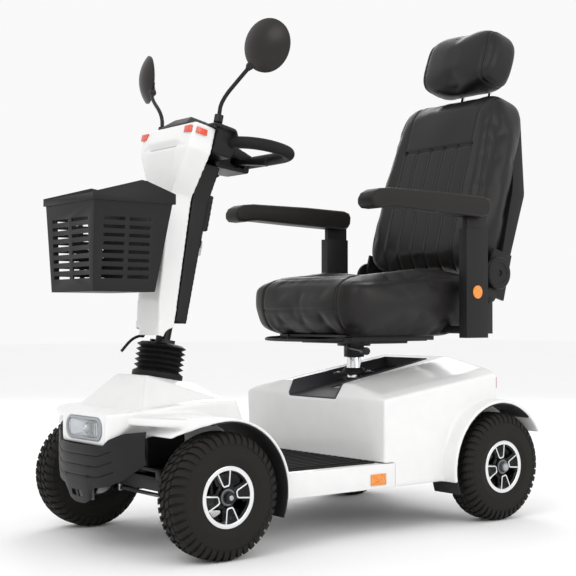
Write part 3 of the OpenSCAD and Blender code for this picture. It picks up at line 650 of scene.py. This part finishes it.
def rim_bright(middle):
    """Machined outer ring and the four U-shaped ribs."""
    here = Matrix.Translation(middle) @ Matrix.Scale(MM, 4)
    ring = turned(
        "ring", [(58.8, 34), (58.8, 39), (60, 40.4), (68, 41), (69.6, 40.2), (69.6, 36), (64.7, 36),
                 (64.7, 34)], middle, 96
    )
    ribs = [prism("rib", u_rib(90 * k + 11), 26, 38.5, here) for k in range(4)]
    return soften(joined("bright", ring, *ribs), 0.7, 2)


def hub_ring(middle):
    """Grey hub collar around the axle nut."""
    profile = [(12.5, 30), (12.5, 38), (14, 39.4), (17.5, 39.4), (19, 38), (19, 30)]
    return smooth(turned("hub", profile, middle, 48))


def axle_nut(name, middle, body, slot):
    """Hexagon nut with a washer, on the end of an axle."""
    clear()
    bpy.ops.mesh.primitive_cylinder_add(vertices=6, radius=10.5 * MM, depth=9 * MM)
    nut = bpy.context.object
    seat_of_nut = Matrix.Translation(middle + Vector((45 * MM, 0, 0)))
    moved(nut, seat_of_nut @ Matrix.Rotation(math.pi / 2, 4, "Y"))
    washer = turned("washer", [(6, 39.8), (6, 41.2), (12.4, 41.2), (12.4, 39.8)], middle, 32)
    stud = turned("stud", [(0.1, 40), (0.1, 52), (5, 52), (6, 51), (6, 40)], middle, 24)
    return done(soften(joined(name, nut, washer, stud), 0.8), body, slot, ZINC)


def wheels():
    """All four wheels, from one model at the front left."""
    middle = WHEEL_MIDDLE
    parts = {
        "tyre": (joined("tyre_shape", tyre_carcass(middle), tread(middle)), TYRE, "tyre_rubber"),
        "dish": (rim_black(middle), GLOSS_BLACK, "silver_rim"),
        "bright": (rim_bright(middle), BRIGHT, "silver_rim"),
        "hub": (hub_ring(middle), CAST, "silver_rim"),
    }
    nut = axle_nut("axle_nut_front_left", middle, "knuckle_left", "zinc_steel")
    for place in ("front_left", "front_right", "rear_left", "rear_right"):
        shift = pivot(f"wheel_{place}_spin") - middle
        flip = Matrix.Identity(4)
        if place.endswith("right"):
            shift.x = 0
            flip = Matrix.Scale(-1, 4, (1, 0, 0))
        matrix = Matrix.Translation((shift.x, shift.y, shift.z)) @ flip
        for kind, (shape, material, slot) in parts.items():
            node = {"tyre": f"tyre_{place}", "dish": f"rim_{place}"}.get(kind)
            piece = copied(shape, f"{kind}_{place}", matrix)
            done(piece, f"wheel_{place}", slot, material, *([node] if node else []))
        if place != "front_left":
            body = "chassis" if place.startswith("rear") else "knuckle_right"
            other = copied(nut, f"axle_nut_{place}", matrix)
            done(other, body, "zinc_steel", ZINC)
    for shape, _, _ in parts.values():
        bpy.data.objects.remove(shape)


# ------------------------------------------------------------------ bodywork


def stadium(half_w, half_h, corner, middle_z, count=96):
    """Rounded rectangle seen from the front, as (x, z) points."""
    points = []
    for k in range(count):
        c, s = math.cos(math.tau * k / count), math.sin(math.tau * k / count)
        points.append((
            math.copysign(half_w - corner, c) + corner * c,
            middle_z + math.copysign(half_h - corner, s) + corner * s,
        ))
    return points


def headlight():
    """Rounded lamp in a grey bezel: silvered bowl, bulb and a clear bowed lens."""
    level, face = 283, -628
    plate = box("headlight_face", (-93, -627, 247), (93, -612, 317))
    cut(plate, prism("hole", stadium(84, 26.5, 24, level), -700, -500, across="y"))
    done(soften(plate, 3, 3), "chassis", "white_panel", WHITE)
    rim = stadium(83.8, 26.3, 24, level)
    bezel = prism("headlight_bezel", rim, face - 1.5, face + 24, across="y")
    cut(bezel, prism("hole", stadium(77, 20.5, 19, level), -700, face + 19, across="y"))
    done(soften(bezel, 1.6, 3), "chassis", "lamp_grey", GREY, "headlight_housing")

    def bowl(u, v):
        share = 1 - 0.999 * v
        edge = stadium(76.6, 20.2, 18.6, 0)[round(u * 96) % 96]
        deep = 17 - 13 * share**4
        return Vector((edge[0] * share, face + deep, level + edge[1] * share))

    reflector = skin("headlight_reflector", 10, 96, bowl)
    done(smooth(close_up(reflector), 60), "chassis", "lamp_grey", CHROME)

    def dome(u, v):
        share = 1 - 0.999 * v
        edge = stadium(76.6, 20.2, 18.6, 0)[round(u * 96) % 96]
        return Vector((edge[0] * share, face + 3 - 4 * (1 - share**2), level + edge[1] * share))

    lens = close_up(skin("headlight_glass", 8, 96, dome))
    use(lens, "SOLIDIFY", thickness=0.002, offset=0)
    done(smooth(lens, 60), "chassis", "lens_clear", CLEAR, "headlight_lens")
    clear()
    bpy.ops.mesh.primitive_uv_sphere_add(segments=32, ring_count=16, radius=9)
    bulb = bpy.context.object
    bulb.name = "headlight_bulb"
    moved(bulb, FLOOR_FRAME @ Matrix.Translation((0, face + 9, level)))
    done(smooth(bulb, 60), "chassis", "lamp_grey", BRIGHT)
    circle = stadium(14, 14, 13.9, level, 48)
    collar = prism("headlight_collar", circle, face + 10, face + 15, across="y")
    done(soften(collar, 1.5), "chassis", "lamp_grey", GREY)


def between(points, x):
    """Height of a line of (x, z) points at x."""
    for (x0, z0), (x1, z1) in zip(points, points[1:]):
        if x <= x1:
            return z0 + (z1 - z0) * max(0.0, x - x0) / (x1 - x0)
    return points[-1][1]


def bumper():
    """Bowed bumper with three chevron grooves, a rounded chin and two vents."""
    top = [(0, 247), (96, 247), (112, 262), (150, 278), (196, 284)]
    foot = [(0, 112), (24, 113), (44, 121), (54, 140), (66, 152), (110, 158), (150, 176),
            (196, 214)]

    def shell(u, v):
        x = (2 * u - 1) * 194
        side = abs(x)
        low, high = between(foot, side), between(top, side)
        z = low + (high - low) * v
        y = -644 + 66 * (side / 194) ** 2.4 + 9 * max(0.0, (160 - z) / 48) ** 1.5
        y += 3 * (1 - v) ** 8 + 3 * v**10
        for k, groove in enumerate((176, 200, 224)):
            reach = 108 - 4 * k
            bend = groove + 0.35 * max(0.0, side - 84)
            if side < reach + 22:
                y += 4.5 * valley(z - bend, 2.8)
        return Vector((x, y, z))

    skirt = skin("bumper_shell", 110, 160, shell)
    use(skirt, "SOLIDIFY", thickness=0.004, offset=1)
    close_up(skirt)
    for side in (-1, 1):
        slot = [(side * a, b) for a, b in ((5, 126), (26, 128), (24, 142), (5, 142))]
        cut(skirt, prism("vent", slot, -700, -560, across="y"))
    done(smooth(skirt, 50), "chassis", "black_plastic", BLACK, "front_bumper")
    grille = box("bumper_vent_back", (-34, -622, 118), (34, -616, 146))
    done(soften(grille, 2), "chassis", "black_plastic", CAST)


def bolt(name, place, direction, radius, body, material=ZINC, slot="zinc_steel"):
    """Button-head bolt with a hexagon socket; place is in metres."""
    clear()
    bpy.ops.mesh.primitive_cylinder_add(vertices=32, radius=radius * MM, depth=4 * MM)
    head = bpy.context.object
    head.name = name
    pick(head)
    bpy.ops.object.mode_set(mode="EDIT")
    shape = bmesh.from_edit_mesh(head.data)
    for face in shape.faces:
        face.select_set(face.normal.z > 0.9)
    bmesh.update_edit_mesh(head.data)
    bpy.ops.mesh.inset(thickness=radius * 0.42 * MM)
    bpy.ops.mesh.extrude_region_move(TRANSFORM_OT_translate={"value": (0, 0, -2 * MM)})
    bpy.ops.object.mode_set(mode="OBJECT")
    turn = Vector((0, 0, 1)).rotation_difference(Vector(direction)).to_matrix().to_4x4()
    moved(head, Matrix.Translation(place) @ turn)
    return done(soften(head, 0.7), body, slot, material)


def bodywork():
    """Painted shells, bumper, liners, floor and lamps."""
    moulded("front_cowl", WHITE, 2.6, 30, 0.3, 1.6)
    moulded("rear_body", WHITE, 2.8, 24, 0.3, 1.6)
    dressed("floor_pan", WHITE, 3, 3)
    bumper()
    dressed("wheel_liners", LINER, 0.8)
    dressed("seat_surround", RECESS, 1.2)
    dressed("foot_mat", MAT, 1.2)
    dressed("tail_lights", RED, 3, 3)
    dressed("side_reflectors", AMBER, 1, 2)
    headlight()


def post():
    """Chrome seat post standing on its black pointed flange."""
    low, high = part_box("seat_post")
    where = Vector(pivot("seat_swivel"))
    clear()
    bpy.ops.mesh.primitive_cylinder_add(vertices=64, radius=0.02, depth=high.z - low.z)
    bar = bpy.context.object
    bar.name = "seat_post_chrome"
    moved(bar, Matrix.Translation((where.x, where.y, (high.z + low.z) / 2)))
    done(soften(bar, 1.5), "chassis", "chrome_steel", CHROME, "seat_post")
    outline = []
    for k in range(48):
        angle = math.tau * k / 48
        reach = 34 + 36 * abs(math.sin(angle)) ** 6
        outline.append((reach * math.cos(angle) * 0.98, POST_Y + reach * math.sin(angle)))
    plate = prism("seat_post_flange", outline, SHELF_Z, SHELF_Z + 6, across="z")
    collar = [(20.4, 0), (31, 0), (31, 6), (27, 12), (20.4, 13)]
    clear()
    ring = turned("collar", collar, Vector((0, 0, 0)), 48)
    foot = Matrix.Translation((where.x, where.y, (SHELF_Z + 5) * MM))
    moved(ring, foot @ Matrix.Rotation(-math.pi / 2, 4, "Y"))
    done(soften(joined("seat_post_flange", plate, ring), 1.2), "chassis", "black_plastic", BLACK)
    for side in (-1, 1):
        spot = FLOOR_FRAME @ Vector((0, POST_Y + 56 * side, SHELF_Z + 7))
        bolt(f"flange_bolt_{'front' if side < 0 else 'rear'}", spot, (0, 0, 1), 5, "chassis")


# ------------------------------------------------------------------ tiller


def loop_handle():
    """Foam-covered loop, one smooth tube."""
    up = 512
    half = [(104, 8), (150, 20), (190, 50), (208, 88), (206, 128), (176, 148), (110, 150)]
    left = [(x, v, up) for x, v in half]
    right = [(-x, v, up) for x, v in reversed(half)]
    bar = tube("loop_handle", left + [(0, 150, up)] + right, 15, TILLER_FRAME, sides=10)
    done(bar, "tiller", "grip_foam", FOAM, "handlebar")


def mirrors():
    """Dished mirror shells with silvered glass, and their bent stems."""
    for name in ("left", "right"):
        dressed(f"mirror_head_{name}", DARK_MIRROR, 2, 3, 30)
    for side, name in ((1, "left"), (-1, "right")):
        middle = FLOOR_FRAME @ Vector((264, 0, MIRROR_LEVEL))
        middle.y = pivot("tiller_tilt").y + 0.125
        glass = turned(
            f"mirror_glass_{name}", [(0.1, -2.4), (40, -2.2), (59.4, -1.4), (59.4, -3), (0.1, -4)],
            Vector((0, 0, 0)), 72
        )
        spin = Matrix.Rotation(MIRROR_TURN, 4, "Z") @ Matrix.Rotation(-math.pi / 2, 4, "Z")
        moved(glass, Matrix.Translation(middle) @ spin)
        if side < 0:
            glass.data.transform(Matrix.Scale(-1, 4, (1, 0, 0)))
            glass.data.flip_normals()
        done(smooth(glass, 40), f"mirror_head_{name}", "mirror_plastic", MIRROR_GLASS)
    for name in ("left", "right"):
        dressed(f"mirror_stem_{name}", STEEL, 0)


def tiller():
    """Covers, console, loop, controls and the key."""
    dressed("tiller_column", STEEL, 1.5)
    moulded("tiller_front_cover", WHITE, 2.4, 16, 0.4)
    moulded("tiller_rear_cover", BLACK, 3, 8)
    moulded("console", CONSOLE, 3, 12)
    dressed("indicators", SIGNAL, 2, 3)
    dressed("throttle_lever", CONSOLE, 2.5, 3)
    dressed("speed_dial", CONSOLE, 2, 3)
    dressed("horn_button", RED_PLASTIC, 1.5, 3)
    dressed("light_button", GREEN_PLASTIC, 1.5, 3)
    dressed("key", ZINC, 0.6)
    dressed("tilt_lever", STEEL, 0)
    dressed("basket", BLACK, 1.2, 2)
    dressed("steering_stem", STEEL, 1.2)
    dressed("bellows", BOOT, 1.0, 2)
    loop_handle()
    mirrors()


# ------------------------------------------------------------------ seat


def rounded_block(name, half, exponent, cuts=20):
    """A cube subdivided and rounded like a stuffed block, in shares of its half sizes."""
    clear()
    bpy.ops.mesh.primitive_cube_add(size=2)
    obj = bpy.context.object
    obj.name = name
    edit_all(obj, (bpy.ops.mesh.subdivide, {"number_cuts": cuts}))
    for vertex in obj.data.vertices:
        p = vertex.co
        size = sum(abs(part) ** exponent for part in p) ** (1 / exponent)
        vertex.co = Vector((p.x * half[0], p.y * half[1], p.z * half[2])) / size
    return obj


def stuffed(obj, voxel_mm, pressure, cap_mm):
    """Blows a pad up as cloth, so its skin rounds and settles between its corners."""
    use(obj, "REMESH", mode="VOXEL", voxel_size=voxel_mm * MM)
    start = [v.co.copy() for v in obj.data.vertices]
    pick(obj)
    cloth = obj.modifiers.new("cloth", "CLOTH")
    cloth.settings.use_pressure = True
    cloth.settings.uniform_pressure_force = pressure
    cloth.settings.effector_weights.gravity = 0
    cloth.settings.quality = 4
    cloth.settings.mass = 0.4
    cloth.point_cache.frame_start = 1
    cloth.point_cache.frame_end = 20
    scene = bpy.context.scene
    for step in range(1, 21):
        scene.frame_set(step)
    bpy.ops.object.modifier_apply(modifier=cloth.name)
    for vertex, before in zip(obj.data.vertices, start):
        push = vertex.co - before
        if push.length > cap_mm * MM:
            vertex.co = before + push.normalized() * cap_mm * MM
    scene.frame_set(1)
    use(obj, "SMOOTH", factor=0.5, iterations=12)
    use(obj, "SUBSURF", levels=1, render_levels=1)
    return obj


def valley(distance, width):
    """Depth share of a sewn groove at a distance from its seam."""
    return math.exp(-((distance / width) ** 2))


def sewn(obj, matrix, groove):
    """Presses seams into a pad. groove(x, y, z, normal) gives a depth in mm, in the pad's frame."""
    back = matrix.inverted()
    turn = back.to_3x3()
    pick(obj)
    normals = [v.normal.copy() for v in obj.data.vertices]
    for vertex, normal in zip(obj.data.vertices, normals):
        local = back @ vertex.co
        facing = (turn @ normal).normalized()
        depth = groove(local, facing)
        if depth:
            vertex.co = vertex.co - normal * depth * MM
    obj.data.update()
    return smooth(obj, 180)


def seat_cushion():
    """Thick waterfall cushion: a front panel between two seams, and bolsters that rise rearward."""
    low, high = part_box("seat_cushion")
    middle = (low + high) / 2
    half = [(high[i] - low[i]) / 2 / MM for i in range(3)]
    pad = rounded_block("seat_cushion_pad", (half[0] + 1, half[1] + 4, 70), 8)
    for vertex in pad.data.vertices:
        x, y, z = vertex.co
        back = max(0.0, min(1.0, (y + half[1]) / (2 * half[1])))
        side = min(1.0, abs(x) / half[0])
        upper = max(0.0, z / 70)
        lower = max(0.0, -z / 70)
        vertex.co.x = x * (1 - 0.06 * lower * side - 0.02 * (1 - back))
        vertex.co.y = y - 6 * (1 - back) + 16 * lower * (1 - back)
        rise = 34 * max(0.0, min(1.0, (back - 0.12) / 0.45)) * max(0.0, (side - 0.5) / 0.5) ** 0.7
        dip = 12 * (1 - side**2) * (1 - (2 * back - 1) ** 2)
        vertex.co.z = z - 33 + upper * (rise - dip) - 4 * lower * (1 - side**2)
    matrix = Matrix.Translation(middle) @ Matrix.Scale(MM, 4)
    moved(pad, matrix)
    stuffed(pad, 6, 3.0, 12)

    def groove(p, n):
        front = max(0.0, -n.y)
        top = max(0.0, n.z)
        deep = 0.0
        on_front = p.y < -half[1] * 0.55
        if on_front and abs(n.x) < 0.75:
            deep += 4.0 * valley(abs(p.x) - 155, 4.5)
        if p.y < -half[1] + 60 and abs(p.x) < 157:
            deep += 3.5 * valley(p.z - 40, 4.0) * front
            deep += 2.5 * valley(p.z + 46, 4.0) * front
        if top > 0.5 and p.y > -half[1] + 40:
            deep += 3.0 * valley(abs(p.x) - 160, 5.0) * top
        if abs(p.x) > half[0] * 0.8:
            deep += 2.5 * valley(p.z - 34 - 12 * p.y / half[1], 4.0) * abs(n.x)
        return deep

    sewn(pad, matrix, groove)
    done(pad, "seat", "seat_vinyl", VINYL, "seat_cushion")


def backrest():
    """High backrest: plain upper panel, five sewn channels and side bolsters."""
    pad = rounded_block("backrest_pad", (1, 1, 1), 7.0, 24)
    for vertex in pad.data.vertices:
        sx, sy, sz = vertex.co
        up = 334 + sz * 272
        narrow = max(0.0, (up - 330) / 272)
        half = 226 - 22 * narrow**1.4 - 8 * max(0.0, (200 - up) / 140)
        side = abs(sx)
        front = max(0.0, -sy)
        bolster = 14 * max(0.0, min(1.0, (side - 0.62) / 0.3)) * front * (1 - 0.6 * narrow)
        lumbar = 8 * math.sin((up - 60) / 180)
        depth = 64 - 6 * narrow
        across = 12 + 8 * narrow + sy * depth - bolster + lumbar * front * 0.4
        vertex.co = Vector((sx * half, across, up))
    moved(pad, BACK_FRAME)
    stuffed(pad, 6, 2.5, 10)

    def groove(p, n):
        front = max(0.0, -n.y)
        deep = 0.0
        channel_top = 436
        panel = 135
        if front > 0.3:
            if p.z < channel_top + 4 and abs(p.x) < panel + 8:
                nearest = min(abs(p.x - s) for s in (-135, -81, -27, 27, 81, 135))
                deep += 4.2 * valley(nearest, 4.0) * front
            if abs(p.x) < panel + 4:
                deep += 5.0 * valley(p.z - channel_top, 5.0) * front
            if p.z > channel_top:
                deep += 2.2 * valley(abs(p.x) - panel, 4.0) * front
                deep -= 5.0 * math.exp(-(((p.z - 505) / 60) ** 2) - (p.x / 75) ** 2)
        edge = 200 - 36 * max(0.0, (p.z - 290) / 312) ** 1.6
        deep += 2.2 * valley(abs(p.x) - edge, 3.0) * (1 if front > 0.2 else 0)
        return deep

    sewn(pad, BACK_FRAME, groove)
    done(pad, "back", "seat_vinyl", VINYL, "backrest")


def headrest():
    """Pillow headrest with flat end panels, on two chrome stems."""
    pad = rounded_block("headrest_pad", (1, 1, 1), 4.4, 16)
    for vertex in pad.data.vertices:
        sx, sy, sz = vertex.co
        taper = 1 - 0.10 * abs(sz) ** 2
        vertex.co = Vector((sx * 148 * taper, 5 + sy * 64 + 6 * sz, 722 + sz * 92))
    moved(pad, BACK_FRAME)
    stuffed(pad, 5, 3.0, 8)

    def groove(p, _facing):
        seam = 117 - 8 * ((p.z - 718) / 92) ** 2
        return 3.2 * valley(abs(p.x) - seam, 3.5) - 1.6 * valley(abs(p.x) - seam - 6, 3.0)

    sewn(pad, BACK_FRAME, groove)
    done(pad, "headrest", "seat_vinyl", VINYL, "headrest")
    for side, name in ((-55, "right"), (55, "left")):
        stem = tube(f"headrest_stem_{name}", [(side, 62, 382), (side, 62, 560), (side, 62, 700)], 6,
                    BACK_FRAME, sides=6, smooth_path=False)
        done(stem, "headrest", "chrome_steel", CHROME)


def armrests():
    """Moulded foam arm pads with drooped tips, split around their hinges."""
    outline = [(-4, 822), (-3, 838), (5, 851), (24, 861), (60, 865), (260, 866), (400, 863),
               (420, 857), (426, 844), (424, 824), (414, 811), (390, 807), (200, 813), (72, 818),
               (52, 816), (30, 812), (8, 813)]
    pad = prism("armrest_pad_left", outline, 254, 317)
    slot = box("slot", (277.5, 345, 780), (294.5, 440, 853))
    cut(pad, slot)
    soften(pad, 9, 4, 50)
    other = mirrored(pad, "armrest_pad_right")
    done(pad, "armrest_left", "seat_shell", PAD, "armrest_left")
    done(other, "armrest_right", "seat_shell", PAD, "armrest_right")
    for side, name in ((1, "left"), (-1, "right")):
        dressed(f"arm_bracket_{name}", SHELL, 4, 3)
        disc = [(0.1, 0), (17.4, 0), (17.4, 2.4), (15.6, 3.8), (0.1, 4.4)]
        lamp = turned(f"arm_reflector_{name}", [(r, side * a) for r, a in disc],
                      FLOOR_FRAME @ Vector((side * 300.4, 384, 608)), 48)
        done(smooth(lamp), f"arm_bracket_{name}", "amber_lens", AMBER)


def seat():
    """Seat, backrest, headrest, arms and the mechanism under them."""
    seat_cushion()
    backrest()
    headrest()
    armrests()
    dressed("back_shell", SHELL, 6, 3, 30)
    dressed("recline_lever", SHELL, 1.5, 2)
    for side, name in ((1, "left"), (-1, "right")):
        cap = [(0.1, 0), (45, 0), (45, 7), (42, 10.5), (29, 11.5), (28, 10), (9, 10), (8, 7),
               (0.1, 7)]
        cover = turned(f"recliner_cover_{name}", [(r, side * a) for r, a in cap],
                       pivot("back_recline") + Vector((side * 0.2625, 0.026, 0.06)), 64)
        done(smooth(cover), "back", "seat_shell", SHELL)
    for node in ("seat_base", "swivel_lever", "seat_frame"):
        dressed(node, STEEL, 1.2)
    dressed("slide_lever", STEEL, 0)


# ------------------------------------------------------------------ chassis


def chassis():
    """Steel frame, axles, linkage, drive and batteries."""
    for node in ("frame", "front_axle_beam", "knuckle_left", "knuckle_right"):
        dressed(node, STEEL, 1.5)
    dressed("tie_rod", ZINC, 0.8)
    dressed("transaxle", CAST, 2)
    dressed("battery_packs", CASE, 4, 3)
    dressed("freewheel_lever", RED_PLASTIC, 1.0)
    post()


# ------------------------------------------------------------------ studio


def studio():
    """Pale floor, soft light from all round and the camera."""
    clear()
    bpy.ops.mesh.primitive_plane_add(size=40)
    ground = bpy.context.object
    ground.name = "studio_floor"
    made, tree, surface, size = blank("studio_paper", Roughness=0.9)
    fibre = add(tree, "ShaderNodeTexNoise", {"Vector": size, "Scale": 1 / 300, "Detail": 2.0})
    tinted(tree, surface, fibre.outputs["Fac"], "#f9f9f9", "#fcfcfc")
    ground.data.materials.append(made)
    world = bpy.data.worlds.new("studio_air")
    bpy.context.scene.world = world
    world.use_nodes = True
    air = world.node_tree.nodes["Background"]
    air.inputs["Color"].default_value = (1.0, 1.0, 1.0, 1)
    air.inputs["Strength"].default_value = 0.95
    lamps = (
        ("key", (1.5, -3.2, 3.4), (0, -0.1, 0.6), 2.6, 44),
        ("side", (3.6, 0.6, 2.0), (0, 0.1, 0.6), 2.2, 26),
        ("rim", (-3.0, 2.4, 2.8), (0, 0, 0.7), 2.4, 40),
    )
    for name, place, target, size_m, power in lamps:
        light = bpy.data.lights.new(name, "AREA")
        light.shape = "DISK"
        light.size = size_m
        light.energy = power
        lamp = bpy.data.objects.new(name, light)
        bpy.context.scene.collection.objects.link(lamp)
        lamp.location = place
        lamp.rotation_euler = (Vector(target) - Vector(place)).to_track_quat("-Z", "Y").to_euler()
    bpy.context.scene.view_settings.view_transform = "Standard"
    camera = bpy.data.cameras.new("camera")
    camera.lens = 75.83
    camera.sensor_width = 36
    eye = bpy.data.objects.new("camera", camera)
    bpy.context.scene.collection.objects.link(eye)
    eye.location = FLOOR_FRAME @ Vector((2526.2, -2006.5, 540.4))
    around, pitch = math.radians(51.83), math.radians(1.39)
    look = Vector((-math.sin(around) * math.cos(pitch), math.cos(around) * math.cos(pitch),
                   math.sin(pitch)))
    eye.rotation_euler = look.to_track_quat("-Z", "Y").to_euler()
    bpy.context.scene.camera = eye


wheels()
bodywork()
tiller()
seat()
chassis()
studio()
